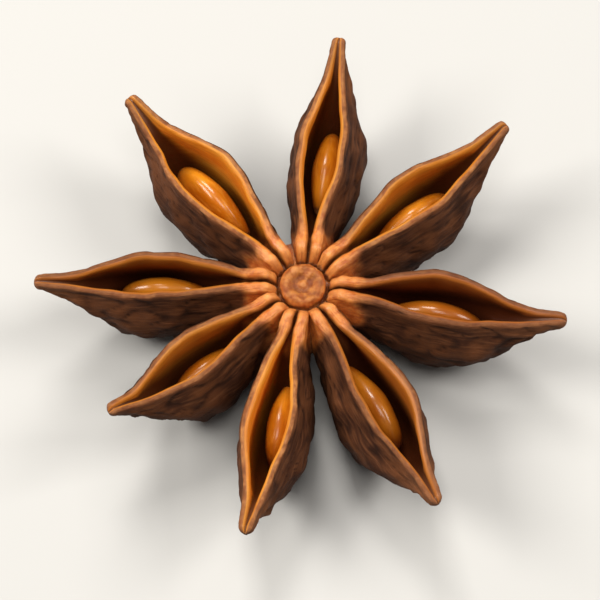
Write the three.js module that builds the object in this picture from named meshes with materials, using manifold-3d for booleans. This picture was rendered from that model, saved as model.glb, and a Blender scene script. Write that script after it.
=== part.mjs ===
// Star anise pod, a dried woody fruit. Eight boat-shaped carpels are fused at their inner ends to
// a short column. Each is split open along its upper seam and holds one smooth seed.
// Millimetres, +Z up. The pod lies with its seams up, on the flattened bellies of its carpels, at
// z = 0. The origin is under the middle of its outline, and carpel 1 points about along +Y.
import * as THREE from "three";
import { mergeVertices } from "three/addons/utils/BufferGeometryUtils.js";
import Module from "manifold-3d";

const wasm = await Module();
wasm.setup();

// Each carpel: direction of its beak from +X, reach of its beak from the column's axis, gap
// between its lips at their widest, roll about its own length, sideways bend of its beak,
// height of its belly over the surface, height that its beak rises over the typical one, how
// broad its body is against the typical one, and its seed's size, place along it and shift to
// its left.
const CARPELS = [
  {
    azimuth: 80.5, reach: 15.6, gape: 2.1, roll: -6, bend: 0, lift: 0.25,
    rise: 0.3, girth: 0.95, seedSize: 0.93, seedPlace: 0.485, seedSide: -0.06,
  },
  {
    azimuth: 132, reach: 15.6, gape: 2.9, roll: 3, bend: 0.2, lift: 0,
    rise: 0.1, girth: 1.03, seedSize: 1.07, seedPlace: 0.475, seedSide: -0.1,
  },
  {
    azimuth: 178, reach: 15.8, gape: 2.2, roll: 1, bend: 0.85, lift: 0,
    rise: -0.1, girth: 0.98, seedSize: 0.96, seedPlace: 0.47, seedSide: -0.05,
  },
  {
    azimuth: 219, reach: 14.1, gape: 2.1, roll: 6, bend: -0.1, lift: 0.2,
    rise: 0.2, girth: 1, seedSize: 0.88, seedPlace: 0.475, seedSide: 0.08,
  },
  {
    azimuth: 259.7, reach: 16.2, gape: 2.1, roll: 8, bend: 0, lift: 0,
    rise: 0, girth: 0.87, seedSize: 0.89, seedPlace: 0.455, seedSide: 0.13,
  },
  {
    azimuth: 301.5, reach: 16.1, gape: 2.4, roll: -7, bend: -1.2, lift: 0.1,
    rise: 0.2, girth: 1.02, seedSize: 1.04, seedPlace: 0.455, seedSide: -0.2,
  },
  {
    azimuth: 350, reach: 15.7, gape: 2.5, roll: -4, bend: -0.2, lift: 0,
    rise: -0.1, girth: 1.03, seedSize: 1.03, seedPlace: 0.46, seedSide: 0.05,
  },
  {
    azimuth: 37.5, reach: 15.6, gape: 2.2, roll: -4, bend: 0.1, lift: 0,
    rise: 0.2, girth: 1, seedSize: 0.99, seedPlace: 0.48, seedSide: -0.06,
  },
];

// A carpel's inner end, and the profiles along it: shares of its length from inner end to beak,
// each with a height, a half width or a share there.
const CARPEL_START = 1.62;
const LIP_HEIGHT = curve([
  [0, 6.2], [0.05, 6.6], [0.3, 7], [0.5, 7.25], [0.68, 7.1], [0.84, 6.9], [1, 7.6],
]);
const KEEL_HEIGHT = curve([
  [0, 2.4], [0.14, 1.4], [0.28, 0.35], [0.42, -0.2], [0.54, 0], [0.65, 1], [0.75, 2.5],
  [0.84, 4.2], [0.92, 5.6], [1, 6.75],
]);
const BODY_HALF = curve([
  [0, 0.68], [0.1, 1.15], [0.28, 1.9], [0.48, 2.45], [0.64, 2.3], [0.78, 1.5], [0.88, 0.85], [1, 0.42],
]);
const LIP_THICKNESS = curve([
  [0, 0.5], [0.06, 0.66], [0.16, 0.66], [0.36, 0.62], [0.6, 0.58], [0.85, 0.5], [1, 0.4],
]);
const GAP_SHARE = curve([
  [0, 0.06], [0.12, 0.11], [0.26, 0.5], [0.4, 0.88], [0.5, 1], [0.6, 0.96], [0.75, 0.52], [0.86, 0.22],
  [0.93, 0.12], [1, 0.05],
]);
const CAVITY_SHARE = curve([
  [0, 0.06], [0.1, 0.18], [0.22, 0.58], [0.36, 0.75], [0.5, 0.79], [0.64, 0.81], [0.76, 0.68],
  [0.88, 0.32], [1, 0.08],
]);
const RISE_SHARE = curve([[0, 0], [0.6, 0.1], [1, 1]]);

// A carpel's cross-section.
const WALL = 0.75;
const UNDERCUT = 0.45; // how far the cavity spreads under each lip
const WIDEST_OUTSIDE = 0.56; // share of the height from keel to lip
const WIDEST_INSIDE = 0.45;
const KEEL_POWER = 0.75; // 1 is a sharp keel, 0.5 a round one
const CAVITY_POWER = 0.55;
const ROLL_CENTRE = new THREE.Vector2(0, 4);
const ROLL_EASE = 0.3; // share of the length over which the roll comes in
const STATIONS = 19;
const OUTER_STEPS = 7;
const LIP_STEPS = 2;
const INNER_STEPS = 4;
const BEAK_CAP = 0.3;

// Wrinkles of the outer wall: height, waves along and up the wall, and phase.
const WRINKLES = [
  { height: 0.07, along: 3.1, up: 1.2, phase: 0.4 },
  { height: 0.05, along: 5.3, up: -2.1, phase: 2.1 },
  { height: 0.035, along: 7.7, up: 3.3, phase: 4.4 },
];
const WRINKLE_FADE = { start: 0.25, beak: 0.15, lip: 0.3 }; // shares over which they die out
const KEEL_CRAGS = { times: 3.6, share: 0.35 }; // how much stronger they are at the keel, and up to where
const CARPEL_PHASE = 1.9;
const LEFT_PHASE = 2.6;

// The column: its profile from the stalk's broken end up to the dished scar on top.
const COLUMN = [
  [0, 0.9], [0.95, 1], [1.1, 1.7], [1.5, 2.2], [2.6, 2.7], [3.5, 3.5], [3.5, 4.4], [2.6, 5.3],
  [1.9, 5.5], [1.3, 5.4], [1.3, 6.25], [1.17, 6.46], [0.9, 6.44], [0.5, 6.26], [0, 6.2],
];
const COLUMN_SIDES = 24;
const GROUND = { side: 60, depth: 10 }; // what the bellies are cut flat against

const SEED = { length: 5.9, thickness: 2, height: 3.5, clearance: 0.55 };
const SEED_TAPER = 0.2;
const SEED_SIDES = 14;
const SEED_RINGS = 9;

const HUSK_FINISH = { color: 0x5e3a26, roughness: 0.75, metalness: 0 };
const SEED_FINISH = { color: 0xb4641c, roughness: 0.22, metalness: 0 };

// A smooth function through [position, value] pairs, with each slope taken from the neighbours.
function curve(points) {
  const slopes = points.map((_, i) => {
    const [before, after] = [points[Math.max(i - 1, 0)], points[Math.min(i + 1, points.length - 1)]];
    return (after[1] - before[1]) / (after[0] - before[0]);
  });
  return (at) => {
    let i = 0;
    while (i < points.length - 2 && at > points[i + 1][0]) i += 1;
    const [[start, low], [end, high]] = [points[i], points[i + 1]];
    const span = end - start;
    const u = (at - start) / span;
    const blend = u * u * (3 - 2 * u);
    const bow = u * (1 - u) * ((1 - u) * slopes[i] - u * slopes[i + 1]) * span;
    return low + (high - low) * blend + bow;
  };
}

function smoothstep(u) {
  return THREE.MathUtils.smoothstep(u, 0, 1);
}

// Half width of a wall at a share of its height: a bowl up to its widest level, then a smooth
// turn in or out to the lip.
function wallHalf(share, widest, power, bodyHalf, topHalf) {
  if (share < widest) return bodyHalf * Math.sin((share / widest) * (Math.PI / 2)) ** power;
  return bodyHalf + (topHalf - bodyHalf) * smoothstep((share - widest) / (1 - widest));
}

// How far the outer wall stands out at a share of the length and of the height, on one side.
function wrinkle(along, up, side, number) {
  const phase = CARPEL_PHASE * number + (side < 0 ? LEFT_PHASE : 0);
  const sum = WRINKLES.reduce(
    (total, w) => total + w.height * Math.sin(2 * Math.PI * (w.along * along + w.up * up) + w.phase + phase),
    0,
  );
  const fade = smoothstep(along / WRINKLE_FADE.start) * smoothstep((1 - along) / WRINKLE_FADE.beak)
    * smoothstep((1 - up) / WRINKLE_FADE.lip);
  return sum * fade * (1 + (KEEL_CRAGS.times - 1) * (1 - smoothstep(up / KEEL_CRAGS.share)));
}

function rollAt(along, carpel) {
  return THREE.MathUtils.degToRad(carpel.roll) * smoothstep(along / ROLL_EASE);
}

// A point of a section, turned with its carpel's roll.
function rolled(y, z, along, carpel) {
  return new THREE.Vector2(y, z).rotateAround(ROLL_CENTRE, rollAt(along, carpel));
}

// The main measures of a carpel's section at a share of its length.
function measures(along, carpel) {
  const rise = carpel.rise * RISE_SHARE(along);
  const lipTop = LIP_HEIGHT(along) + rise;
  const keel = KEEL_HEIGHT(along) + carpel.lift + rise;
  const lip = LIP_THICKNESS(along);
  const gapHalf = (GAP_SHARE(along) * carpel.gape) / 2;
  const bodyHalf = BODY_HALF(along) * carpel.girth;
  const shoulder = lipTop - lip / 2;
  return {
    keel,
    shoulder,
    lip,
    gapHalf,
    bodyHalf: Math.max(bodyHalf, gapHalf + lip),
    cavityHalf: gapHalf + THREE.MathUtils.clamp(bodyHalf - WALL - gapHalf, 0, UNDERCUT),
    floor: shoulder - (shoulder - keel) * CAVITY_SHARE(along),
  };
}

// One side of a section from the keel up the outer wall, over the lip and down to the cavity's
// floor, as [half width, height]. The two ends lie on the middle plane.
function sectionSide(along, carpel, number, side) {
  const m = measures(along, carpel);
  const points = [];
  for (let i = 0; i < OUTER_STEPS; i += 1) {
    const up = (1 - Math.cos((Math.PI * i) / OUTER_STEPS)) / 2;
    const half = wallHalf(up, WIDEST_OUTSIDE, KEEL_POWER, m.bodyHalf, m.gapHalf + m.lip);
    const out = wrinkle(along, up, side, number);
    points.push([i ? half + out : 0, m.keel + (m.shoulder - m.keel) * up - (i ? 0 : out)]);
  }
  for (let i = 0; i <= LIP_STEPS; i += 1) {
    const turn = (Math.PI * i) / LIP_STEPS;
    points.push([m.gapHalf + (m.lip / 2) * (1 + Math.cos(turn)), m.shoulder + (m.lip / 2) * Math.sin(turn)]);
  }
  for (let i = INNER_STEPS - 1; i >= 0; i -= 1) {
    const up = i / INNER_STEPS;
    const half = wallHalf(up, WIDEST_INSIDE, CAVITY_POWER, m.cavityHalf, m.gapHalf);
    points.push([half, m.floor + (m.shoulder - m.floor) * up]);
  }
  return points;
}

// A whole section: the right side out and back, then the left side without the two shared ends.
// The keel's point is the right side's, so that both sides meet there.
function section(along, carpel, number) {
  const right = sectionSide(along, carpel, number, 1);
  const left = sectionSide(along, carpel, number, -1).slice(1, -1).reverse();
  const bend = carpel.bend * along ** 3;
  return [...right, ...left.map(([half, z]) => [-half, z])].map(([y, z]) => {
    const point = rolled(y, z, along, carpel);
    return [point.x + bend, point.y];
  });
}

// Closes rings of equal length into one skin, with both ends capped.
function skin(rings) {
  const count = rings[0].length;
  const positions = rings.flat(2);
  const faces = [];
  for (let i = 0; i + 1 < rings.length; i += 1) {
    for (let j = 0; j < count; j += 1) {
      const next = (j + 1) % count;
      const [a, b, c, d] = [i * count + j, i * count + next, (i + 1) * count + next, (i + 1) * count + j];
      faces.push([a, b, c], [a, c, d]);
    }
  }
  for (const [ring, first] of [[rings[0], 0], [rings.at(-1), (rings.length - 1) * count]]) {
    const flat = ring.map(([, y, z]) => new THREE.Vector2(y, z));
    for (const [a, b, c] of THREE.ShapeUtils.triangulateShape(flat, []))
      faces.push(first ? [first + a, first + b, first + c] : [c, b, a]);
  }
  const geometry = new THREE.BufferGeometry();
  geometry.setAttribute("position", new THREE.Float32BufferAttribute(positions, 3));
  geometry.setIndex(faces.flat());
  return geometry;
}

// A carpel along +X, from the column's axis.
function carpelGeometry(carpel, number) {
  const length = carpel.reach - CARPEL_START;
  const rings = [];
  for (let i = 0; i < STATIONS; i += 1) {
    const along = i / (STATIONS - 1);
    rings.push(section(along, carpel, number).map(([y, z]) => [CARPEL_START + length * along, y, z]));
  }
  const beak = rings.at(-1);
  const middle = [0, 1, 2].map((k) => beak.reduce((sum, point) => sum + point[k], 0) / beak.length);
  rings.push(beak.map(([, y, z]) => [
    carpel.reach + BEAK_CAP,
    (y + middle[1]) / 2,
    (z + middle[2]) / 2,
  ]));
  return skin(rings);
}

function columnGeometry() {
  return new THREE.LatheGeometry(COLUMN.map(([r, z]) => new THREE.Vector2(r, z)), COLUMN_SIDES)
    .rotateX(Math.PI / 2);
}

function seedGeometry() {
  const seed = new THREE.SphereGeometry(1, SEED_SIDES, SEED_RINGS).rotateZ(-Math.PI / 2);
  const position = seed.getAttribute("position");
  for (let i = 0; i < position.count; i += 1) {
    const x = position.getX(i);
    const narrow = 1 - SEED_TAPER * Math.max(0, -x);
    position.setXYZ(
      i,
      (x * SEED.length) / 2,
      (position.getY(i) * narrow * SEED.thickness) / 2,
      (position.getZ(i) * narrow * SEED.height) / 2,
    );
  }
  return seed;
}

function solidOf(geometry) {
  const bare = geometry.clone();
  bare.deleteAttribute("normal");
  bare.deleteAttribute("uv");
  const merged = mergeVertices(bare, 1e-4);
  return new wasm.Manifold(new wasm.Mesh({
    numProp: 3,
    vertProperties: merged.getAttribute("position").array,
    triVerts: new Uint32Array(merged.index.array),
  }));
}

function geometryOf(solid) {
  const mesh = solid.getMesh();
  const geometry = new THREE.BufferGeometry();
  geometry.setAttribute("position", new THREE.BufferAttribute(mesh.vertProperties, 3));
  geometry.setIndex(new THREE.BufferAttribute(mesh.triVerts, 1));
  geometry.computeVertexNormals();
  return geometry;
}

// The carpels and the column as one solid, cut flat where it rests.
function huskGeometry() {
  const turned = CARPELS.map((carpel, i) =>
    solidOf(carpelGeometry(carpel, i + 1).rotateZ(THREE.MathUtils.degToRad(carpel.azimuth))));
  const fused = turned.reduce((whole, piece) => whole.add(piece), solidOf(columnGeometry()));
  const ground = solidOf(new THREE.BoxGeometry(GROUND.side, GROUND.side, GROUND.depth)
    .translate(0, 0, -GROUND.depth / 2));
  return geometryOf(fused.subtract(ground));
}

function mesh(name, geometry, finish) {
  const made = new THREE.Mesh(geometry, new THREE.MeshStandardMaterial(finish));
  made.name = name;
  return made;
}

// A seed on its edge in its carpel, just clear of the cavity's floor.
function seedMesh(carpel, number) {
  const seed = mesh(`seed_${number}`, seedGeometry().scale(...Array(3).fill(carpel.seedSize)), SEED_FINISH);
  const along = carpel.seedPlace;
  const height = measures(along, carpel).floor + SEED.clearance + (SEED.height * carpel.seedSize) / 2;
  const middle = rolled(carpel.seedSide, height, along, carpel);
  seed.position.set(CARPEL_START + along * (carpel.reach - CARPEL_START), middle.x, middle.y);
  seed.rotation.x = rollAt(along, carpel);
  const turned = new THREE.Group();
  turned.rotation.z = THREE.MathUtils.degToRad(carpel.azimuth);
  turned.add(seed);
  return turned;
}

const pod = new THREE.Group();
const husk = mesh("husk", huskGeometry(), HUSK_FINISH);
pod.add(husk, ...CARPELS.map((carpel, i) => seedMesh(carpel, i + 1)));
const outline = new THREE.Box3().setFromObject(husk);
const middle = outline.getCenter(new THREE.Vector3());
pod.position.set(-middle.x, -middle.y, 0);

export default pod;
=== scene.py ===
"""A dried star anise pod: a woody husk of eight open carpels round a short column, with a glossy seed
in each. The husk's curves are the solid's own, drawn fine, with the fibres, crags, worn rims and
folded lips that the solid leaves out. Lengths are millimetres until a mesh is made, then metres."""

import itertools
import math

import bpy
import numpy as np
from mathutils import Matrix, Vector
from mathutils.kdtree import KDTree


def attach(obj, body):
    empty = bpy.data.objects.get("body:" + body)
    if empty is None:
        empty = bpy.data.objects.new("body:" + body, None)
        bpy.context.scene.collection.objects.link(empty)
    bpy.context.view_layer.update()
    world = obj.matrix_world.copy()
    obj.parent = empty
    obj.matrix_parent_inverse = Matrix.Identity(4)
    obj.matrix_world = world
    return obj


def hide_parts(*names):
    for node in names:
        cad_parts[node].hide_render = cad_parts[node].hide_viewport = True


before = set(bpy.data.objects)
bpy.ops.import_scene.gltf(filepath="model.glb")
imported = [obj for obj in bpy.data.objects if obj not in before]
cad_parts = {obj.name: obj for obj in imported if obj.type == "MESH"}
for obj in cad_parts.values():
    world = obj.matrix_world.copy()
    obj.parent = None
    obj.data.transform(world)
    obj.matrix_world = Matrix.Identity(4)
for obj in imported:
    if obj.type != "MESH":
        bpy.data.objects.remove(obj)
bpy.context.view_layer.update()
MM = 0.001

# Each carpel: direction of its beak from +X, reach of its beak, gap between its lips, roll about
# its length, sideways bend of its beak, height of its belly over the floor, extra height of its
# beak, breadth against the typical one, its seed's size, place along it and shift to its left, and
# how dark its lips, its inside and its seed are, from 0 to 1: partly the carpel's own darker colour,
# partly painted shade.
CARPELS = (
    dict(azimuth=80.5, reach=15.6, gape=2.1, roll=-6, bend=0, lift=0.25, rise=0.3, girth=0.95,
         seed_size=0.93, seed_place=0.485, seed_side=-0.06, tone_and_shade=0.2),
    dict(azimuth=132, reach=15.6, gape=2.9, roll=3, bend=0.2, lift=0, rise=0.1, girth=1.03,
         seed_size=1.07, seed_place=0.475, seed_side=-0.1, tone_and_shade=0),
    dict(azimuth=178, reach=15.8, gape=2.2, roll=1, bend=0.85, lift=0, rise=-0.1, girth=0.98,
         seed_size=0.96, seed_place=0.47, seed_side=-0.05, tone_and_shade=0.75),
    dict(azimuth=219, reach=14.1, gape=2.1, roll=6, bend=-0.1, lift=0.2, rise=0.2, girth=1,
         seed_size=0.88, seed_place=0.475, seed_side=0.08, tone_and_shade=0.5),
    dict(azimuth=259.7, reach=16.2, gape=2.1, roll=8, bend=0, lift=0, rise=0, girth=0.87,
         seed_size=0.89, seed_place=0.455, seed_side=0.13, tone_and_shade=0),
    dict(azimuth=301.5, reach=16.1, gape=2.4, roll=-7, bend=-1.2, lift=0.1, rise=0.2, girth=1.02,
         seed_size=1.04, seed_place=0.455, seed_side=-0.2, tone_and_shade=0.75),
    dict(azimuth=350, reach=15.7, gape=2.5, roll=-4, bend=-0.2, lift=0, rise=-0.1, girth=1.03,
         seed_size=1.03, seed_place=0.46, seed_side=0.05, tone_and_shade=1),
    dict(azimuth=37.5, reach=15.6, gape=2.2, roll=-4, bend=0.1, lift=0, rise=0.2, girth=1,
         seed_size=0.99, seed_place=0.48, seed_side=-0.06, tone_and_shade=0.3),
)


def curve(*points):
    """A smooth function through (position, value) pairs, each slope taken from the neighbours."""
    at, value = np.array(points, float).T
    index = np.arange(len(at))
    before, after = np.maximum(index - 1, 0), np.minimum(index + 1, len(at) - 1)
    slope = (value[after] - value[before]) / (at[after] - at[before])

    def evaluate(x):
        x = np.asarray(x, float)
        i = np.searchsorted(at[1:-1], x)
        span = at[i + 1] - at[i]
        u = (x - at[i]) / span
        blend = u * u * (3 - 2 * u)
        bow = u * (1 - u) * ((1 - u) * slope[i] - u * slope[i + 1]) * span
        return value[i] + (value[i + 1] - value[i]) * blend + bow

    return evaluate


# The profiles along a carpel, from its inner end to its beak.
CARPEL_START = 1.62
LIP_HEIGHT = curve((0, 6.2), (0.05, 6.6), (0.3, 7), (0.5, 7.25), (0.68, 7.1), (0.84, 6.9), (1, 7.6))
KEEL_HEIGHT = curve((0, 2.4), (0.14, 1.4), (0.28, 0.35), (0.42, -0.2), (0.54, 0), (0.65, 1),
                    (0.75, 2.5), (0.84, 4.2), (0.92, 5.6), (1, 6.75))
BODY_HALF = curve((0, 0.68), (0.1, 1.15), (0.28, 1.9), (0.48, 2.45), (0.64, 2.3), (0.78, 1.5),
                  (0.88, 0.85), (1, 0.42))
LIP_THICKNESS = curve((0, 0.5), (0.06, 0.66), (0.16, 0.66), (0.36, 0.62), (0.6, 0.58), (0.85, 0.5),
                      (1, 0.4))
GAP_SHARE = curve((0, 0.06), (0.12, 0.11), (0.26, 0.5), (0.4, 0.88), (0.5, 1), (0.6, 0.96),
                  (0.75, 0.52), (0.86, 0.22), (0.93, 0.12), (1, 0.05))
CAVITY_SHARE = curve((0, 0.06), (0.1, 0.18), (0.22, 0.58), (0.36, 0.75), (0.5, 0.79), (0.64, 0.81),
                     (0.76, 0.68), (0.88, 0.32), (1, 0.08))
RISE_SHARE = curve((0, 0), (0.6, 0.1), (1, 1))

# A carpel's cross-section, and the share of its length over which its roll comes in.
WALL = 0.75
UNDERCUT = 0.45
WIDEST_OUTSIDE = 0.56
WIDEST_INSIDE = 0.45
KEEL_POWER = 0.75
CAVITY_POWER = 0.55
ROLL_CENTRE = 4.0
ROLL_EASE = 0.3

# Points of the fine mesh: stations along a carpel, closer together at its ends, and steps of one
# side of a section. DENSE is the number of points that a section is first worked out with.
STATIONS = 99
END_CROWDING = 0.4
OUTER_STEPS = 34
LIP_STEPS = 7
INNER_STEPS = 14
DENSE = 160
BEAK_CAP = 0.38
BEAK_RINGS = 8

# The folded lips: a knob beside the column, and slow waves of the lips' height and gap. The waves
# are noise, with a finer ripple in it. Carpels, rows of waves and sides lie apart in that noise.
KNOB_AT = 0.045
KNOB_LENGTH = 0.05
KNOB_HEIGHT = 0.3
KNOB_DROP = 0.32
KNOB_UNEVEN = 0.4
KNOB_SIDE_STEP = 1.7
KNOB_ROW = 5.2
LIP_WAVE = 0.14
GAP_WAVE = 0.15
LIP_WAVES = 3.4
LIP_RIPPLES = 3.1
LIP_RIPPLE_SHARE = 0.5
RIPPLE_APART = 40
CARPEL_STEP = 7.3
ROW_STEP = 3.1
SIDE_STEP = 2.7
LIP_ENDS = (0.25, 0.12)  # the shares of the length over which they come in and fade

# The solid's broad wrinkles of the outer wall: height, waves along it, waves up it and phase.
WRINKLES = ((0.07, 3.1, 1.2, 0.4), (0.05, 5.3, -2.1, 2.1), (0.035, 7.7, 3.3, 4.4))
WRINKLE_ENDS = (0.25, 0.15)
CARPEL_PHASE = 1.9
SIDE_PHASE = 2.6
KEEL_CRAGS = 3.6
CRAG_TOP = 0.35      # shares of the wall's height: the crags are below this,
SIDES_PART = 0.15    # the two sides' wrinkles are the same at the keel and differ from here,
LIP_FADE = 0.3       # and they fade over this much below the lip
LEAST_HALF = 0.4     # no wrinkle leaves less than this share of the wall's half width

# The column's profile, as (radius, height), from the stalk's broken end to the scar's middle.
COLUMN = ((0, 0.9), (0.95, 1), (1.1, 1.7), (1.5, 2.2), (2.6, 2.7), (3.5, 3.5), (3.5, 4.4), (2.6, 5.3),
          (1.9, 5.5), (1.31, 5.4), (1.31, 6.15), (1.2, 6.42), (1.02, 6.44), (0.6, 6.2), (0, 6.12))
COLUMN_GRAIN = (4, 0.45, 0.9)  # evens out the stretch of the husk's noises
COLUMN_SIDES = 120
COLUMN_RINGS = 80

# The columns of the shells' fields: a place along the fibres, the share of the wall's height, the
# distance from the lip's crest (outside negative), how far inside, and whether on the column, how
# far over the beak's cap, and the carpel's tone, which is partly painted shade.
GRAIN, HEIGHT, CREST, INSIDE, ON_COLUMN, ON_CAP, TONE_AND_SHADE = slice(0, 3), 3, 4, 5, 6, 7, 8
GRAIN_STEP = 37.0  # keeps the carpels apart in the noises

# A seed lies on its edge, this much clear of the cavity's floor. The scar's measures are shares of
# the seed's half length and half height, then millimetres.
SEED = dict(length=5.9, thickness=2, height=3.5, clearance=0.55)
SEED_TAPER = 0.2
SEED_BLUNTNESS = 0.94
SEED_UNEVEN = 0.05
SEED_SIDES = 40
SEED_RINGS = 44
SEED_SCAR = dict(along=0.96, up=0.1, radius=0.5, depth=0.14, edge=0.55, edge_width=0.13,
                 edge_height=0.05, stain=0.62)
SEED_FLANK_SHADE = (0.8, -0.1)  # the painted shade down the flanks starts and is whole at these shares of the half height
SEED_NOISE_STEP = 9.1
SEED_GRAIN_STEP = 11.0

# The seams between the shells are softened over this distance.
SEAM_REACH = 0.24
SEAM_PASSES = 5
SEAM_WEIGHT = 0.6
ON_SHELL = 1e-4  # a fused point further than this from the shells' points lies on a seam

# Where each kind of the husk's surface starts and where it is whole: radii from the column's axis,
# heights from the floor, distances from a seam, shares of the wall's height and shares inside.
SCAR_RADIUS = (1.32, 1.22)
SCAR_Z = (5.9, 6.1)
HUB_Z = (3.2, 4.8)
GROOVE_Z = (6.3, 5.9)
# The painted shade along the seams between carpels starts and is whole at these distances.
SEAM_SHADE = (0.16, 0)
SEAM_Z = (2.5, 4)
SLIT_INSIDE = (0.62, 0.92)
SLIT_RADIUS = (5.2, 3)
INNER_INSIDE = (0.4, 0.7)
BEAK_RADIUS = (12.8, 15.2)
KEEL_SHARE = (0.45, 0)

# The same as a middle and a width, from the lip's crest or the column's axis.
RIM_CREST = (-0.06, 0.17)
LEDGE_CREST = (0.24, 0.16)
# The painted highlight on the knobs' tops, from the lip's crest and from the column's axis.
KNOB_HIGHLIGHT_CREST = (0, 0.28)
KNOB_HIGHLIGHT_RADIUS = (2.15, 0.5)
GROOVE_RADIUS = (1.46, 0.16)
HUB_CREST = (0, 0.4)

# The hub, where the lips' inner ends are pale: the radius it ends at, how uneven that is, over what
# distance it fades, and how much more gradually on the lips.
HUB_RADIUS = 3.7
HUB_UNEVEN = 0.7
HUB_FADE = 0.9
HUB_LIP_FADE = 1.1

# The husk's fine relief: each part's height in millimetres.
RELIEF = dict(fibre=0.06, crease=0.07, crag=0.2, inside=0.02, lip_bump=0.035, lip_grain=0.03, knot=0.06,
              hub=0.09, beak=0.04, scar_pip=0.2, scar_spoke=0.03, scar_bump=0.09)

# The waves to a millimetre of each noise, along the fibres, round the wall and across it, or along
# X, Y and Z.
WAVES = dict(
    fibre=(0.22, 1.6, 0.6), thread=(0.4, 3.4, 1.3), crease=(0.35, 1.15, 0.5), crag=(0.8, 0.8, 0.8),
    crumple=(1.7, 1.7, 1.7), inside=(0.5, 1.8, 1.0), lip_bump=(1.6, 1.4, 1.4),
    lip_grain=(3.4, 1.8, 1.8), knot=(1.8, 1.8, 1.8), beak=(3.2, 0.8, 0.8), hub_edge=(0.9, 0.9, 0.5),
    scar_bump=(2.1, 2.1, 2.1), seed=(0.55, 0.8, 0.8),
)
CREASE_SHARPNESS = 3.2
CRAG_SHARPNESS = 2.4
SPOKES_AROUND, SPOKES_ALONG = 3.2, 0.9
SPOKES_RADIUS = (0.2, 0.45)
PIP_RADIUS = (0, 0.2)
PIP_RING = (0.42, 0.15)


def smoothstep(u):
    u = np.clip(u, 0, 1)
    return u * u * (3 - 2 * u)


def ramp(value, start, full):
    """0 on the side of start, 1 on the side of full, smooth between."""
    return smoothstep((value - start) / (full - start))


def bell(value, centre, width):
    return np.exp(-(((value - centre) / width) ** 2))


def between(along, ends):
    """1 along the middle of a carpel, down to 0 at its two ends."""
    return smoothstep(along / ends[0]) * smoothstep((1 - along) / ends[1])


class Noise:
    """Seeded gradient noise in three dimensions, about -1 to 1, at so many waves to a millimetre."""

    REACH = 1.7

    def __init__(self, seed):
        draw = np.random.default_rng(seed)
        self.order = draw.permutation(256)
        slopes = draw.normal(size=(256, 3))
        self.slopes = slopes / np.linalg.norm(slopes, axis=1)[:, None]

    def __call__(self, points, *waves):
        points = points * np.array(waves) if waves else points
        cell = np.floor(points).astype(int)
        local = points - cell
        fade = local**3 * (local * (local * 6 - 15) + 10)
        total = np.zeros(len(points))
        for corner in itertools.product((0, 1), repeat=3):
            x, y, z = ((cell + corner) & 255).T
            which = self.order[(self.order[(self.order[x] + y) & 255] + z) & 255]
            weight = np.prod(np.where(corner, fade, 1 - fade), axis=1)
            total += weight * np.einsum("ij,ij->i", self.slopes[which], local - corner)
        return total * self.REACH


BROAD, MEDIUM, FINE, LIPS = Noise(11), Noise(23), Noise(37), Noise(53)


# --- The husk's shells -----------------------------------------------------------------------


def wall_half(share, widest, power, body_half, top_half):
    """Half width of a wall at shares of its height: a bowl, then a turn in or out to the lip."""
    bowl = body_half * np.sin(np.clip(share / widest, 0, 1) * math.pi / 2) ** power
    turn = body_half + (top_half - body_half) * smoothstep((share - widest) / (1 - widest))
    return np.where(share < widest, bowl, turn)


def wrinkle(along, up, side, number):
    """How far the outer wall stands out at shares of a carpel's length and of the wall's height."""
    phase = CARPEL_PHASE * number + (SIDE_PHASE if side < 0 else 0)
    total = sum(
        height * np.sin(2 * math.pi * (waves * along + rows * up) + shift + phase)
        for height, waves, rows, shift in WRINKLES
    )
    fade = between(along, WRINKLE_ENDS) * smoothstep((1 - up) / LIP_FADE)
    return total * fade * (1 + (KEEL_CRAGS - 1) * (1 - smoothstep(up / CRAG_TOP)))


def lip_wave(along, number, side, row):
    """A slow wave along one lip, none at its two ends."""
    place = np.zeros((len(along), 3))
    place[:, 0] = along * LIP_WAVES
    place[:, 1] = number * CARPEL_STEP + row * ROW_STEP
    place[:, 2] = side * SIDE_STEP
    wave = LIPS(place) + LIP_RIPPLE_SHARE * LIPS(place * (LIP_RIPPLES, 1, 1) + RIPPLE_APART)
    return wave * between(along, LIP_ENDS)


def levels(along, carpel):
    """Heights of the keel, of the lips' shoulder and of the cavity's floor."""
    rise = carpel["rise"] * RISE_SHARE(along)
    keel = KEEL_HEIGHT(along) + carpel["lift"] + rise
    shoulder = LIP_HEIGHT(along) + rise - LIP_THICKNESS(along) / 2
    return keel, shoulder, shoulder - (shoulder - keel) * CAVITY_SHARE(along)


def measures(along, carpel, number, side):
    """The main measures of a carpel's section at shares of its length, on one side."""
    keel, shoulder, floor = levels(along, carpel)
    lip = LIP_THICKNESS(along)
    gap_half = GAP_SHARE(along) * carpel["gape"] / 2
    body_half = BODY_HALF(along) * carpel["girth"]
    cavity_half = gap_half + np.clip(body_half - WALL - gap_half, 0, UNDERCUT)
    body_half = np.maximum(body_half, gap_half + lip)

    uneven = LIPS(np.array([[number, side * KNOB_SIDE_STEP, KNOB_ROW]]))[0]
    knob = bell(along, KNOB_AT, KNOB_LENGTH) * (1 + KNOB_UNEVEN * uneven)
    start = np.clip(1 - along / KNOB_AT, 0, 1)
    drop = KNOB_DROP * (1 - np.sqrt(1 - start**2))
    shoulder = shoulder + KNOB_HEIGHT * knob - drop + LIP_WAVE * lip_wave(along, number, side, 0)
    gap_half = gap_half * (1 + GAP_WAVE * lip_wave(along, number, side, 1))
    return keel, shoulder, lip, gap_half, body_half, cavity_half, floor


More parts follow.
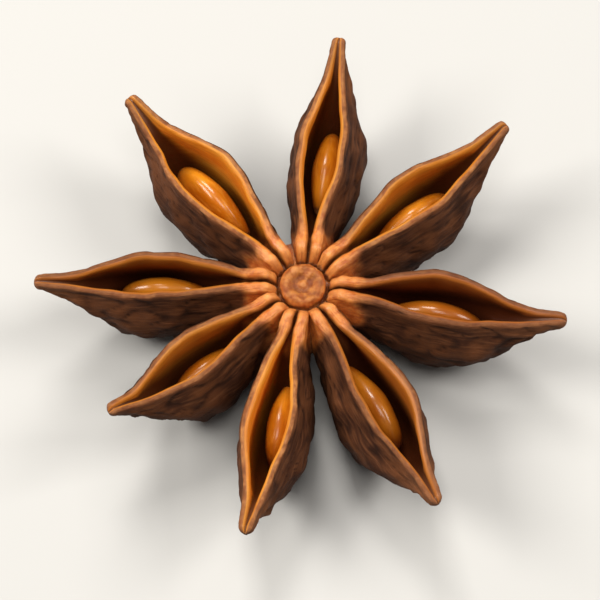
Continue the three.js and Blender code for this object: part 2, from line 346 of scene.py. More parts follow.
def resampled(paths, fields, count):
    """Points evenly spread along each path, and its fields there, with each path's arc lengths."""
    steps = np.linalg.norm(np.diff(paths, axis=1), axis=2)
    arc = np.concatenate([np.zeros((len(paths), 1)), np.cumsum(steps, axis=1)], axis=1)
    points, values, arcs = [], [], []
    for path, field, length in zip(paths, fields, arc):
        at = np.linspace(0, length[-1], count)
        points.append(np.stack([np.interp(at, length, path[:, k]) for k in range(2)], 1))
        values.append(np.interp(at, length, field))
        arcs.append(at)
    return np.array(points), np.array(values), np.array(arcs)


def wrinkled(half, height, along, up, number, side):
    """The outer wall's paths from keel to lip, moved along their normals by the wrinkles."""
    own = wrinkle(along[:, None], up, side, number)
    shared = wrinkle(along[:, None], up, 1, number)
    out = shared + (own - shared) * smoothstep(up / SIDES_PART)
    across, rising = np.gradient(half, axis=1), np.gradient(height, axis=1)
    length = np.hypot(across, rising) + 1e-9
    moved_half = np.maximum(half + out * rising / length, LEAST_HALF * half)
    return np.stack([moved_half, height - out * across / length], 2)


def section_side(along, carpel, number, side):
    """One side of every section, keel to lip to cavity floor: places, heights' shares, distances
    from the lip's crest (outside negative) and how far inside each point is."""
    keel, shoulder, lip, gap_half, body_half, cavity_half, floor = (
        m[:, None] for m in measures(along, carpel, number, side))
    up = (1 - np.cos(np.linspace(0, math.pi, DENSE))) / 2
    half = wall_half(up, WIDEST_OUTSIDE, KEEL_POWER, body_half, gap_half + lip)
    paths = wrinkled(half, keel + (shoulder - keel) * up, along, up, number, side)
    outer, outer_up, arc = resampled(paths, np.broadcast_to(up, half.shape), OUTER_STEPS + 1)
    quarter = lip * math.pi / 4
    outer_from_crest = arc - arc[:, -1:] - quarter

    turn = np.linspace(0, math.pi, LIP_STEPS + 2)[1:-1]
    lips = np.stack([gap_half + lip / 2 * (1 + np.cos(turn)), shoulder + lip / 2 * np.sin(turn)], 2)
    lips_from_crest = (turn - math.pi / 2) * lip / 2

    down = np.linspace(1, 0, DENSE)
    half = wall_half(down, WIDEST_INSIDE, CAVITY_POWER, cavity_half, gap_half)
    paths = np.stack([half, floor + (shoulder - floor) * down], 2)
    inner, inner_up, arc = resampled(paths, np.broadcast_to(down, half.shape), INNER_STEPS + 1)

    places = np.concatenate([outer, lips, inner], 1)
    heights = np.concatenate([outer_up, np.ones(lips.shape[:2]), inner_up], 1)
    crest = np.concatenate([outer_from_crest, lips_from_crest, arc + quarter], 1)
    inside = np.concatenate([
        np.zeros_like(outer_up),
        np.broadcast_to(turn / math.pi, lips.shape[:2]),
        np.ones_like(inner_up),
    ], 1)
    return places, heights, crest, inside


def roll_angle(along, carpel):
    return np.radians(carpel["roll"]) * smoothstep(along / ROLL_EASE)


def rolled(y, z, along, carpel):
    """Places in a carpel's section, turned about its length."""
    angle = roll_angle(along, carpel)
    above = z - ROLL_CENTRE
    sideways = y * np.cos(angle) - above * np.sin(angle)
    return sideways, ROLL_CENTRE + y * np.sin(angle) + above * np.cos(angle)


def skin(rows, count, tips):
    """Quads between rings of count points, and fans from the rings at both ends to the tips."""
    ring = np.arange(count)
    after = (ring + 1) % count
    faces = []
    for row in range(rows - 1):
        a, b = row * count + ring, row * count + after
        faces += np.stack([a, b, b + count, a + count], 1).tolist()
    first, last = tips
    faces += [[first, b, a] for a, b in zip(ring.tolist(), after.tolist())]
    base = (rows - 1) * count
    faces += [[base + a, base + b, last] for a, b in zip(ring.tolist(), after.tolist())]
    return faces


def turned(points, degrees):
    """The points turned about the column's axis."""
    angle = math.radians(degrees)
    x, y, z = points.T
    turned_x = x * math.cos(angle) - y * math.sin(angle)
    turned_y = x * math.sin(angle) + y * math.cos(angle)
    return np.stack([turned_x, turned_y, z], 1)


def beak_cap(last_ring, reach):
    """The rings that round off the beak beyond the last ring, how far each is over, and the tip."""
    middle = last_ring.mean(0)
    rings, shares = [], []
    for k in range(1, BEAK_RINGS + 1):
        turn = k / (BEAK_RINGS + 1) * math.pi / 2
        ring = middle + (last_ring - middle) * math.cos(turn)
        ring[:, 0] = reach + BEAK_CAP * math.sin(turn)
        rings.append(ring)
        shares.append(math.sin(turn))
    return np.array(rings), shares, [reach + BEAK_CAP, middle[1], middle[2]]


def extended(field):
    """A field of the sections, its last row repeated for the beak's cap."""
    return np.concatenate([field, np.repeat(field[-1:], BEAK_RINGS, 0)])


def carpel_shell(carpel, number):
    """A carpel's points, faces and fields."""
    share = np.linspace(0, 1, STATIONS)
    along = (1 - END_CROWDING) * share + END_CROWDING * (1 - np.cos(math.pi * share)) / 2
    right, left = (section_side(along, carpel, number, side) for side in (1, -1))
    left = [field[:, 1:-1][:, ::-1] for field in left]
    places = np.concatenate([right[0], left[0] * (-1, 1)], 1)
    heights, crest, inside = (
        extended(np.concatenate([right[k], left[k]], 1)) for k in (1, 2, 3))
    y, z = rolled(places[..., 0], places[..., 1], along[:, None], carpel)
    y = y + carpel["bend"] * along[:, None] ** 3
    x = np.broadcast_to(CARPEL_START + along[:, None] * (carpel["reach"] - CARPEL_START), y.shape)
    rings = np.stack([x, y, z], 2)
    cap, cap_shares, tip = beak_cap(rings[-1], carpel["reach"])
    rings = np.concatenate([rings, cap])

    rows, count = rings.shape[:2]
    points = np.concatenate([rings.reshape(-1, 3), [rings[0].mean(0), tip]])
    grain = np.stack([rings[..., 0] + number * GRAIN_STEP, crest, extended(places[..., 0])], 2)
    on_cap = np.repeat(np.concatenate([np.zeros(STATIONS), cap_shares]), count)
    fields = np.column_stack([
        grain.reshape(-1, 3), heights.ravel(), crest.ravel(), inside.ravel(),
        np.zeros(rows * count), on_cap, np.full(rows * count, carpel["tone_and_shade"]),
    ])
    fields = np.concatenate([fields, fields[[0, -1]]])
    fields[-1, ON_CAP] = 1
    return turned(points, carpel["azimuth"]), skin(rows, count, (rows * count, rows * count + 1)), fields


def column_shell():
    """The points, faces and fields of the column, from the stalk's end up to the dished scar."""
    profile = np.array(COLUMN, float)
    arc = np.concatenate([[0], np.cumsum(np.linalg.norm(np.diff(profile, axis=0), axis=1))])
    at = np.linspace(0, arc[-1], COLUMN_RINGS + 2)
    fine = np.stack([np.interp(at, arc, profile[:, k]) for k in range(2)], 1)
    fine[1:-1] = (fine[:-2] + 2 * fine[1:-1] + fine[2:]) / 4
    inner = fine[1:-1]
    turn = np.arange(COLUMN_SIDES) / COLUMN_SIDES * 2 * math.pi
    rings = np.stack([inner[:, :1] * np.cos(turn), inner[:, :1] * np.sin(turn),
                      np.repeat(inner[:, 1:], COLUMN_SIDES, 1)], 2)
    points = np.concatenate([rings.reshape(-1, 3), [[0, 0, fine[0, 1]], [0, 0, fine[-1, 1]]]])
    fields = np.zeros((len(points), TONE_AND_SHADE + 1))
    fields[:, GRAIN] = points * COLUMN_GRAIN
    fields[:, HEIGHT] = 1
    fields[:, ON_COLUMN] = 1
    return points, skin(COLUMN_RINGS, COLUMN_SIDES, (len(points) - 2, len(points) - 1)), fields


# --- The husk's skin -------------------------------------------------------------------------


def mesh_object(name, points, faces):
    mesh = bpy.data.meshes.new(name)
    mesh.from_pydata(np.asarray(points).tolist(), [], faces)
    made = bpy.data.objects.new(name, mesh)
    bpy.context.scene.collection.objects.link(made)
    return made


def smooth(piece):
    piece.data.polygons.foreach_set("use_smooth", [True] * len(piece.data.polygons))


def fused(shells):
    """The shells as one closed skin of triangles: its points and faces."""
    objects = [mesh_object(f"shell_{k}", points, faces) for k, (points, faces, _) in enumerate(shells)]
    others = bpy.data.collections.new("others")
    for other in objects[1:]:
        others.objects.link(other)
    join = objects[0].modifiers.new("join", "BOOLEAN")
    join.operation = "UNION"
    join.operand_type = "COLLECTION"
    join.collection = others
    join.solver = "MANIFOLD"
    whole = objects[0].evaluated_get(bpy.context.evaluated_depsgraph_get()).to_mesh()
    whole.calc_loop_triangles()
    points = np.zeros(len(whole.vertices) * 3)
    whole.vertices.foreach_get("co", points)
    faces = np.zeros(len(whole.loop_triangles) * 3, int)
    whole.loop_triangles.foreach_get("vertices", faces)
    for made in objects:
        mesh = made.data
        bpy.data.objects.remove(made)
        bpy.data.meshes.remove(mesh)
    bpy.data.collections.remove(others)
    return parted(points.reshape(-1, 3), faces.reshape(-1, 3))


def sides_of(faces):
    pairs = np.concatenate([faces[:, [0, 1]], faces[:, [1, 2]], faces[:, [2, 0]]])
    return np.sort(pairs, axis=1)


def parted(points, faces):
    """The skin with every edge that four faces share made into two edges, one with a point halfway."""
    pairs, counts = np.unique(sides_of(faces), axis=0, return_counts=True)
    for start, end in pairs[counts > 2].tolist():
        halfway = len(points)
        points = np.vstack([points, (points[start] + points[end]) / 2])
        for a, b in ((start, end), (end, start)):
            row, corner = np.argwhere((faces == a) & (np.roll(faces, -1, axis=1) == b))[0]
            opposite = faces[row, (corner + 2) % 3]
            faces[row] = a, halfway, opposite
            faces = np.vstack([faces, [halfway, b, opposite]])
    return points, faces


def tree_of(points):
    tree = KDTree(len(points))
    for index, point in enumerate(points.tolist()):
        tree.insert(point, index)
    tree.balance()
    return tree


def softened(points, edges, weight):
    """The points moved towards the middle of their neighbours, each by its weight."""
    count = np.bincount(edges.ravel(), minlength=len(points))[:, None]
    for _ in range(SEAM_PASSES):
        total = np.zeros_like(points)
        for k in range(3):
            total[:, k] = np.bincount(edges[:, 0], points[edges[:, 1], k], len(points))
            total[:, k] += np.bincount(edges[:, 1], points[edges[:, 0], k], len(points))
        points = points + (total / count - points) * weight[:, None] * SEAM_WEIGHT
    return points


def normals_of(points, faces):
    corners = points[faces]
    facing = np.cross(corners[:, 1] - corners[:, 0], corners[:, 2] - corners[:, 0])
    total = np.zeros_like(points)
    for k in range(3):
        for corner in range(3):
            total[:, k] += np.bincount(faces[:, corner], facing[:, k], len(points))
    return total / (np.linalg.norm(total, axis=1)[:, None] + 1e-12)


def husk_zones(points, fields, from_seam):
    """Where each kind of surface is, each from 0 to 1, from the fields of the shells."""
    radius, z = np.hypot(points[:, 0], points[:, 1]), points[:, 2]
    height, crest, inside = fields[:, HEIGHT], fields[:, CREST], fields[:, INSIDE]
    on_column = fields[:, ON_COLUMN]
    on_carpel = 1 - on_column
    scar = on_column * ramp(radius, *SCAR_RADIUS) * ramp(z, *SCAR_Z)
    hub_edge = HUB_RADIUS + HUB_UNEVEN * BROAD(points, *WAVES["hub_edge"])
    hub_fade = HUB_FADE + HUB_LIP_FADE * bell(crest, *HUB_CREST)
    groove = bell(radius, *GROOVE_RADIUS) * ramp(z, *GROOVE_Z)
    seam = ramp(from_seam, *SEAM_SHADE) * ramp(z, *SEAM_Z)
    slit = ramp(inside, *SLIT_INSIDE) * ramp(radius, *SLIT_RADIUS)
    return dict(
        inner=ramp(inside, *INNER_INSIDE) * on_carpel,
        rim=bell(crest, *RIM_CREST) * on_carpel,
        ledge=bell(crest, *LEDGE_CREST) * inside,
        hub=smoothstep((hub_edge - radius) / hub_fade + 0.5) * ramp(z, *HUB_Z),
        beak=ramp(radius, *BEAK_RADIUS),
        keel=ramp(height, *KEEL_SHARE) * (1 - inside) * on_carpel,
        deep=(1 - height) * inside,
        # The carpel's tone: partly its own darker colour, partly painted shade.
        tone_and_shade=fields[:, TONE_AND_SHADE],
        # Painted highlight on the tops of the lips' knobs by the column.
        knob_highlight=bell(crest, *KNOB_HIGHLIGHT_CREST) * bell(radius, *KNOB_HIGHLIGHT_RADIUS) * on_carpel,
        # Painted shade: the outside darker down towards the keel.
        low=(1 - height) * on_carpel,
        scar=scar,
        # Painted shade in the groove round the scar, along the seams and in the slits between lips.
        crevice_shade=np.clip(np.maximum(groove, np.maximum(seam, slit)), 0, 1) * (1 - scar),
    )


def scar_relief(points):
    """The dished scar's heights, and its bumps from -1 to 1: a pip in the middle, a soft ring round
    it, fine spokes and uneven ground."""
    radius = np.hypot(points[:, 0], points[:, 1])
    around = points / (radius[:, None] + 1e-6) * (1, 1, 0)
    spokes = FINE(np.column_stack([around[:, :2] * SPOKES_AROUND, radius * SPOKES_ALONG]))
    pip = bell(radius, *PIP_RADIUS) - 0.5 * bell(radius, *PIP_RING)
    dish = RELIEF["scar_pip"] * pip + RELIEF["scar_spoke"] * spokes * ramp(radius, *SPOKES_RADIUS) \
        + RELIEF["scar_bump"] * MEDIUM(points, *WAVES["scar_bump"])
    return dish, np.clip(dish / RELIEF["scar_bump"], -1, 1)


def husk_relief(points, fields, zones):
    """How far the skin stands out in millimetres, and its ridges and hollows from -1 to 1."""
    grain = fields[:, GRAIN]
    keel, hub, scar = zones["keel"], zones["hub"], zones["scar"]
    off_scar = 1 - scar
    outer = (1 - zones["inner"]) * (1 - zones["rim"])
    fibre = 0.55 * BROAD(grain, *WAVES["fibre"]) + 0.45 * FINE(grain, *WAVES["thread"])
    crease = np.clip(1 - np.abs(MEDIUM(grain, *WAVES["crease"])) * CREASE_SHARPNESS, 0, 1) ** 2
    crag = 1 - CRAG_SHARPNESS * np.abs(MEDIUM(grain, *WAVES["crag"]))
    crumple = 1 - CRAG_SHARPNESS * np.abs(FINE(grain, *WAVES["crumple"]))
    crag = 0.7 * crag + 0.3 * crumple
    outside = RELIEF["fibre"] * fibre - RELIEF["crease"] * crease * (1 - keel) \
        + RELIEF["crag"] * crag * keel
    within = RELIEF["inside"] * BROAD(grain, *WAVES["inside"])
    on_lips = RELIEF["lip_bump"] * MEDIUM(grain, *WAVES["lip_bump"]) \
        + RELIEF["lip_grain"] * FINE(grain, *WAVES["lip_grain"])
    knots = RELIEF["knot"] * FINE(points, *WAVES["knot"])
    beak_ridges = RELIEF["beak"] * FINE(grain, *WAVES["beak"])
    dish, scar_bumps = scar_relief(points)

    stands = outside * outer * (1 - 0.8 * hub) + within * zones["inner"] + on_lips * zones["rim"]
    stands = stands * off_scar + knots * hub * off_scar + beak_ridges * zones["beak"] * outer
    stands += dish * scar + RELIEF["hub"] * hub * outer * off_scar
    stands *= 1 - fields[:, ON_CAP] ** 2
    ridges = (0.5 * fibre - 0.8 * crease + keel * crag) * off_scar + scar_bumps * scar
    return stands, np.clip(ridges, -1, 1)


def set_field(piece, name, values):
    kind, key = ("FLOAT_VECTOR", "vector") if values.ndim == 2 else ("FLOAT", "value")
    attribute = piece.data.attributes.new(name, kind, "POINT")
    attribute.data.foreach_set(key, values.astype(np.float32).ravel())


def husk_piece():
    """The husk, and the shift that brings its outline's centre over the origin."""
    shells = [carpel_shell(carpel, k + 1) for k, carpel in enumerate(CARPELS)] + [column_shell()]
    points, faces = fused(shells)
    shell_tree = tree_of(np.concatenate([shell[0] for shell in shells]))
    found = [shell_tree.find(point)[1:] for point in points.tolist()]
    nearest, off = (np.array(column) for column in zip(*found))
    fields = np.concatenate([shell[2] for shell in shells])[nearest]

    seam_tree = tree_of(points[off > ON_SHELL])
    from_seam = np.array([seam_tree.find(point)[2] for point in points.tolist()])
    edges = np.unique(sides_of(faces), axis=0)
    points = softened(points, edges, smoothstep(1 - from_seam / SEAM_REACH))

    zones = husk_zones(points, fields, from_seam)
    stands, ridges = husk_relief(points, fields, zones)
    points = points + normals_of(points, faces) * stands[:, None]
    middle = (points.min(0) + points.max(0)) / 2
    shift = np.array([-middle[0], -middle[1], 0])
    points = points + shift
    points[:, 2] = np.maximum(points[:, 2], 0)

    piece = mesh_object("pod_husk", points * MM, faces.tolist())
    set_field(piece, "grain", fields[:, GRAIN])
    set_field(piece, "spot", points)
    set_field(piece, "ridges", ridges)
    for name, values in zones.items():
        set_field(piece, name, values)
    smooth(piece)
    return piece, shift


# --- The seeds -------------------------------------------------------------------------------


def seed_body():
    """A seed's shape at unit size: an ovoid, narrow at its inner end."""
    turn = np.linspace(0, math.pi, SEED_RINGS + 2)[1:-1]
    around = np.arange(SEED_SIDES) / SEED_SIDES * 2 * math.pi
    x = np.repeat(np.cos(turn)[:, None], SEED_SIDES, 1)
    ring = np.repeat(np.sin(turn)[:, None], SEED_SIDES, 1) ** SEED_BLUNTNESS
    narrow = 1 - SEED_TAPER * np.maximum(0, -x)
    y = ring * narrow * np.cos(around)
    z = ring * narrow * np.sin(around)
    return np.concatenate([np.stack([x, y, z], 2).reshape(-1, 3), [[1, 0, 0], [-1, 0, 0]]])


def laid_in_carpel(points, carpel):
    """A seed's points, put on its edge in its carpel."""
    along = carpel["seed_place"]
    floor = levels(along, carpel)[2]
    height = floor + SEED["clearance"] + SEED["height"] * carpel["seed_size"] / 2
    side, height = rolled(carpel["seed_side"], height, along, carpel)
    angle = roll_angle(along, carpel)
    x, y, z = points.T
    placed = np.stack([
        x + CARPEL_START + along * (carpel["reach"] - CARPEL_START),
        y * np.cos(angle) - z * np.sin(angle) + side,
        y * np.sin(angle) + z * np.cos(angle) + height,
    ], 1)
    return turned(placed, carpel["azimuth"])


def seed_piece(carpel, number, shift):
    """A carpel's seed, with the scar where it was attached at its inner end."""
    unit = seed_body()
    size = np.array([SEED["length"], SEED["thickness"], SEED["height"]]) / 2 * carpel["seed_size"]
    points = unit * size
    uneven = BROAD(points + number * SEED_NOISE_STEP, *WAVES["seed"])
    points += unit * (SEED_UNEVEN * uneven)[:, None]
    scar_centre = np.array([-size[0] * SEED_SCAR["along"], 0, size[2] * SEED_SCAR["up"]])
    from_scar = np.linalg.norm(points - scar_centre, axis=1)
    dent = SEED_SCAR["depth"] * smoothstep(1 - from_scar / SEED_SCAR["radius"])
    edge = SEED_SCAR["edge_height"] * bell(from_scar, SEED_SCAR["edge"], SEED_SCAR["edge_width"])
    points[:, 0] += dent - edge

    placed = laid_in_carpel(points, carpel) + shift
    faces = skin(SEED_RINGS, SEED_SIDES, (len(points) - 2, len(points) - 1))
    piece = mesh_object(f"seed_coat_{number}", placed * MM, faces)
    set_field(piece, "grain", points + [number * SEED_GRAIN_STEP, 0, 0])
    set_field(piece, "scar", smoothstep(1 - from_scar / SEED_SCAR["stain"]))
    set_field(piece, "end", np.abs(unit[:, 0]) ** 3)
    set_field(piece, "tone_and_shade", np.full(len(points), carpel["tone_and_shade"], float))
    set_field(piece, "flank_shade", ramp(unit[:, 2], *SEED_FLANK_SHADE))
    smooth(piece)
    return piece


# --- Materials -------------------------------------------------------------------------------

# The colours, as sRGB in hex.
COLOURS = dict(
    wall_dark="#432312", wall_brown="#693c20", wall_fibre="#76482b", wall_hollow_shade="#241007",
    wall_crest="#b0713f", wall_foot_shade="#2a150a", amber="#de8016", amber_pale="#f4a436",
    amber_patch="#c66a10", amber_tone_and_shade="#99501c", cavity_shade="#3c1504", ledge="#a8641c",
    lip_brown="#864a26", lip_pale="#b27645", lip_stain="#6b3c20", lip_worn="#c88444",
    lip_tone_and_shade="#603620", hub="#bc5c20", hub_pale="#ec9446", scar_brown="#9a5222", scar_pale="#bc7638",
    scar_hollow_shade="#6e3418", scar_ridge_highlight="#dc9658", knob_painted_highlight="#f0a45c", beak="#8d5a38", crevice_shade="#451c0b",
    seed_amber="#b4640a", seed_pale="#dc8c1a", seed_streak="#eeac48", seed_end="#8a420c",
    seed_flank_shade="#662c05", seed_tone_and_shade="#7c3a0c", seed_scar="#c79a6a", seed_glint="#ffd8a0",
    floor="#c3c1bd",
)


def rgb(name):
    """A named colour, made linear."""
    code = COLOURS[name]
    parts = [int(code[k:k + 2], 16) / 255 for k in (1, 3, 5)]
    return [c / 12.92 if c <= 0.04045 else ((c + 0.055) / 1.055) ** 2.4 for c in parts] + [1]


class Nodes:
    """Short ways to add and join the nodes of one material."""

    VECTORS = ("grain", "spot")

    def __init__(self, name):
        self.material = bpy.data.materials.new(name)
        self.material.use_nodes = True
        self.tree = self.material.node_tree
        self.shader = self.tree.nodes["Principled BSDF"]

    def put(self, socket, value):
        if isinstance(value, bpy.types.NodeSocket):
            self.tree.links.new(value, socket)
        else:
            socket.default_value = value

    def shade(self, **values):
        """Sets the shader's own sockets, named with _ for each space."""
        for name, value in values.items():
            self.put(self.shader.inputs[name.replace("_", " ")], value)

    def field(self, name):
        node = self.tree.nodes.new("ShaderNodeAttribute")
        node.attribute_name = name
        return node.outputs["Vector" if name in self.VECTORS else "Fac"]

    def math(self, operation, a, b, clamp=False):
        node = self.tree.nodes.new("ShaderNodeMath")
        node.operation = operation
        node.use_clamp = clamp
        self.put(node.inputs[0], a)
        self.put(node.inputs[1], b)
        return node.outputs[0]

    def times(self, a, b):
        return self.math("MULTIPLY", a, b)

    def ramp(self, value, low, high):
        """0 up to low, 1 from high, smooth between."""
        node = self.tree.nodes.new("ShaderNodeMapRange")
        node.interpolation_type = "SMOOTHSTEP"
        self.put(node.inputs["Value"], value)
        node.inputs["From Min"].default_value = low
        node.inputs["From Max"].default_value = high
        return node.outputs["Result"]

    def mix(self, share, a, b):
        """From colour a at share 0 to colour b at share 1."""
        node = self.tree.nodes.new("ShaderNodeMix")
        node.data_type = "RGBA"
        self.put(node.inputs["Factor"], share)
        self.put(node.inputs[6], a)
        self.put(node.inputs[7], b)
        return node.outputs[2]

    def over(self, below, name, share, strength):
        """A plain colour laid over another where share is 1, at a strength."""
        return self.mix(self.times(share, strength), below, rgb(name))

    def blend(self, share, a, b):
        """From number a at share 0 to number b at share 1."""
        node = self.tree.nodes.new("ShaderNodeMix")
        self.put(node.inputs[0], share)
        self.put(node.inputs[2], a)
        self.put(node.inputs[3], b)
        return node.outputs[0]

    def noise(self, stretch, detail=3.0, roughness=0.55, along="grain"):
        """Noise in millimetres along a vector field, about 0 to 1."""
        scaled = self.tree.nodes.new("ShaderNodeVectorMath")
        scaled.operation = "MULTIPLY"
        self.put(scaled.inputs[0], self.field(along))
        scaled.inputs[1].default_value = stretch
        node = self.tree.nodes.new("ShaderNodeTexNoise")
        node.inputs["Scale"].default_value = 1
        node.inputs["Detail"].default_value = detail
        node.inputs["Roughness"].default_value = roughness
        self.put(node.inputs["Vector"], scaled.outputs[0])
        return node.outputs["Fac"]

    def bump(self, height, distance, strength):
        node = self.tree.nodes.new("ShaderNodeBump")
        self.put(node.inputs["Height"], height)
        self.put(node.inputs["Distance"], distance)
        self.put(node.inputs["Strength"], strength)
        return node.outputs["Normal"]


def husk_material():
    """The husk: a dark fibrous outside, a smooth amber inside, brown lips, a pale hub and a scar."""
    n = Nodes("dry_husk")
    inner, rim, hub, scar, tone_and_shade, ridges = (
        n.field(name) for name in ("inner", "rim", "hub", "scar", "tone_and_shade", "ridges"))
    fibres = n.noise((0.4, 5.0, 2.2), detail=5)
    patches = n.noise((0.45, 0.45, 0.45), detail=4, along="spot")
    flecks = n.noise((2.6, 2.6, 2.6), detail=4, along="spot")
    stretches = n.noise((1.1, 1.1, 1.1), detail=2, along="spot")
    threads = n.blend(0.5, flecks, n.noise((1.6, 4.0, 3.0), detail=3))
    threaded = n.ramp(threads, 0.35, 0.65)

    outside = n.mix(n.ramp(patches, 0.36, 0.64), rgb("wall_dark"), rgb("wall_brown"))
    outside = n.over(outside, "wall_fibre", n.ramp(fibres, 0.42, 0.74), 0.75)
    # Painted shade: the outside darker in the hollows of its relief.
    outside = n.over(outside, "wall_hollow_shade", n.ramp(ridges, -0.1, -0.8), 0.75)
    crests = n.times(n.ramp(ridges, 0.3, 0.9), n.ramp(flecks, 0.4, 0.62))
    outside = n.over(outside, "wall_crest", crests, n.blend(n.field("keel"), 0.25, 0.85))
    # Painted shade: the outside darker down towards the keel.
    outside = n.over(outside, "wall_foot_shade", n.ramp(n.field("low"), 0.12, 0.8), 0.75)

    inside = n.mix(n.ramp(fibres, 0.3, 0.7), rgb("amber"), rgb("amber_pale"))
    inside = n.over(inside, "amber_patch", n.ramp(patches, 0.5, 0.75), 0.5)
    # The carpel's tone darkens the inside, partly as its own colour and partly as painted shade, and
    # lifts the painted cavity shade higher.
    inside = n.mix(tone_and_shade, inside, rgb("amber_tone_and_shade"))
    shaded = n.math("ADD", n.field("deep"), n.times(tone_and_shade, 0.25))
    inside = n.over(inside, "cavity_shade", n.ramp(shaded, 0.42, 0.82), 0.95)
    inside = n.over(inside, "ledge", n.field("ledge"), 0.6)

    lips = n.mix(threaded, rgb("lip_brown"), rgb("lip_pale"))
    lips = n.over(lips, "lip_stain", n.ramp(stretches, 0.5, 0.68), 0.7)
    lips = n.over(lips, "lip_worn", n.ramp(stretches, 0.46, 0.3), 0.5)
    # The carpel's tone darkens the lips: partly their own colour, partly painted shade.
    lips = n.over(lips, "lip_tone_and_shade", tone_and_shade, 0.7)

    middle = n.mix(threaded, rgb("hub"), rgb("hub_pale"))

    disc = n.mix(n.ramp(flecks, 0.35, 0.65), rgb("scar_brown"), rgb("scar_pale"))
    # Painted shade in the scar's hollows and a painted highlight on its bumps.
    disc = n.over(disc, "scar_hollow_shade", n.ramp(ridges, 0.2, -0.9), 0.75)
    disc = n.over(disc, "scar_ridge_highlight", n.ramp(ridges, 0.2, 0.9), 0.5)

    colour = n.mix(inner, outside, inside)
    colour = n.mix(n.times(n.ramp(rim, 0.3, 0.8), 0.9), colour, lips)
    colour = n.mix(n.times(hub, 0.85), colour, middle)
    # Painted highlight on the tops of the lips' knobs by the column.
    colour = n.over(colour, "knob_painted_highlight", n.field("knob_highlight"), 0.45)
    colour = n.over(colour, "beak", n.field("beak"), 0.35)
    colour = n.mix(scar, colour, disc)
    # Painted shade in the groove round the scar, along the seams and in the slits between lips.
    colour = n.over(colour, "crevice_shade", n.field("crevice_shade"), n.blend(hub, 0.85, 0.7))

    rough = n.blend(inner, 0.75, 0.4)
    rough = n.blend(n.times(rim, 0.8), rough, 0.5)
    rough = n.blend(hub, rough, 0.3)
    rough = n.blend(scar, rough, 0.45)
    smooth_parts = n.math("MAXIMUM", inner, hub)
    gloss = n.math("SUBTRACT", smooth_parts, n.times(scar, 0.6), clamp=True)
    surface = n.times(n.noise((1.0, 10.0, 5.0), detail=6, roughness=0.65), n.blend(inner, 1.0, 0.35))
    n.shade(Base_Color=colour, Roughness=rough, Specular_IOR_Level=n.blend(gloss, 0.14, 0.45),
            Normal=n.bump(surface, 0.00012, 0.9))
    return n.material


def seed_material():
    """The seeds' amber coat: cloudy and finely streaked, darker at the ends, with painted shade down the
    flanks.
    """
    n = Nodes("seed_coat")
    clouds = n.noise((0.35, 0.5, 0.5), detail=3)
    streaks = n.noise((0.8, 5.0, 5.0), detail=4)
    colour = n.mix(n.ramp(clouds, 0.35, 0.65), rgb("seed_amber"), rgb("seed_pale"))
    colour = n.over(colour, "seed_streak", n.ramp(streaks, 0.45, 0.75), 0.3)
    colour = n.over(colour, "seed_end", n.field("end"), 0.45)
    # Painted shade: the seed darker down its flanks, below its top.
    colour = n.over(colour, "seed_flank_shade", n.field("flank_shade"), 0.9)
    # The carpel's tone darkens the seed: partly its own colour, partly painted shade.
    colour = n.over(colour, "seed_tone_and_shade", n.field("tone_and_shade"), 0.75)
    colour = n.mix(n.field("scar"), colour, rgb("seed_scar"))
    n.shade(Base_Color=colour, Roughness=0.36, Specular_IOR_Level=0.2, Specular_Tint=rgb("seed_glint"),
            Coat_Weight=0.8, Coat_Roughness=0.2, Normal=n.bump(streaks, 0.00006, 0.5))
    return n.material


def floor_material():
    n = Nodes("pale_floor")
    n.shade(Base_Color=rgb("floor"), Roughness=0.9)
    return n.material


# --- Floor, light and camera -----------------------------------------------------------------

FLOOR_SIDE = 2.0
VIEW_AZIMUTH = 0.0
VIEW_ELEVATION = 68.0
VIEW_DISTANCE = 0.26
VIEW_WIDTH = 0.0365
SENSOR = 36.0
NEAREST_SEEN = 0.01
AIM = Vector((0, 0, 0.0042))

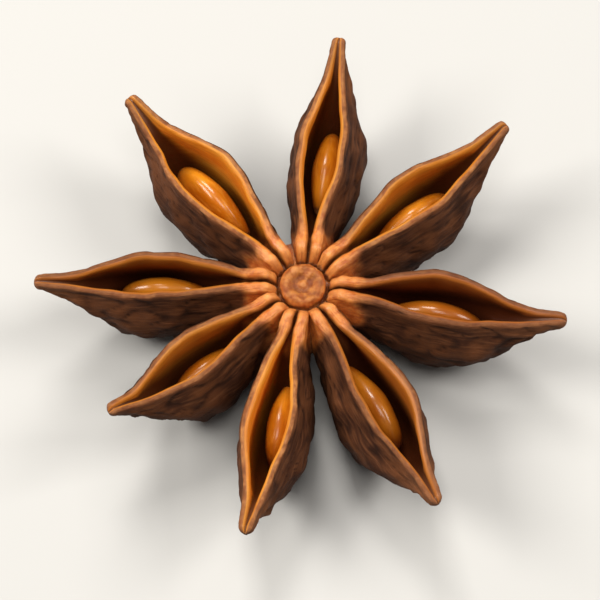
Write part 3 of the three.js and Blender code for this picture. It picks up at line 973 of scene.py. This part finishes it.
# The soft lights: azimuth, elevation, side, watts and colour. All are as far from the pod.
LIGHT_DISTANCE = 0.35
LIGHTS = dict(
    back=(195, 58, 0.1, 0.6, (1, 0.98, 0.95)),
    left=(266, 46, 0.14, 0.95, (1, 0.98, 0.94)),
    top=(0, 84, 0.12, 0.3, (1, 0.98, 0.95)),
    right=(98, 46, 0.14, 0.7, (1, 0.98, 0.95)),
)
SURROUNDINGS = dict(Color=(1, 1, 1, 1), Strength=0.15)


def direction(azimuth, elevation):
    """The way from the pod to a viewer who looks along +Y at azimuth 0."""
    a, e = math.radians(azimuth), math.radians(elevation)
    return Vector((math.sin(a) * math.cos(e), -math.cos(a) * math.cos(e), math.sin(e)))


def aimed(name, data, azimuth, elevation, distance):
    """A light or camera, put into the scene and turned to the pod."""
    made = bpy.data.objects.new(name, data)
    bpy.context.scene.collection.objects.link(made)
    made.location = AIM + direction(azimuth, elevation) * distance
    made.rotation_euler = (AIM - made.location).to_track_quat("-Z", "Y").to_euler()
    return made


def camera():
    data = bpy.data.cameras.new("camera")
    data.sensor_width = SENSOR
    data.sensor_fit = "HORIZONTAL"
    data.lens = SENSOR * VIEW_DISTANCE / VIEW_WIDTH
    data.clip_start = NEAREST_SEEN
    bpy.context.scene.camera = aimed("camera", data, VIEW_AZIMUTH, VIEW_ELEVATION, VIEW_DISTANCE)


def stage_floor():
    half = FLOOR_SIDE / 2
    corners = [(-half, -half, 0), (half, -half, 0), (half, half, 0), (-half, half, 0)]
    floor = mesh_object("floor", corners, [[0, 1, 2, 3]])
    floor.data.materials.append(floor_material())


def studio():
    world = bpy.data.worlds.new("studio")
    world.use_nodes = True
    for name, value in SURROUNDINGS.items():
        world.node_tree.nodes["Background"].inputs[name].default_value = value
    bpy.context.scene.world = world
    for name, (azimuth, elevation, side, watts, colour) in LIGHTS.items():
        light = bpy.data.lights.new(name, "AREA")
        light.size = side
        light.energy = watts
        light.color = colour
        aimed(name, light, azimuth, elevation, LIGHT_DISTANCE)
    bpy.context.scene.view_settings.view_transform = "Standard"


camera()
stage_floor()
studio()

husk, pod_shift = husk_piece()
husk.data.materials.append(husk_material())
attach(husk, "root")
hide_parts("husk")

coat = seed_material()
for index, row in enumerate(CARPELS):
    seed = seed_piece(row, index + 1, pod_shift)
    seed.data.materials.append(coat)
    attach(seed, "root")
    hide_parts(f"seed_{index + 1}")
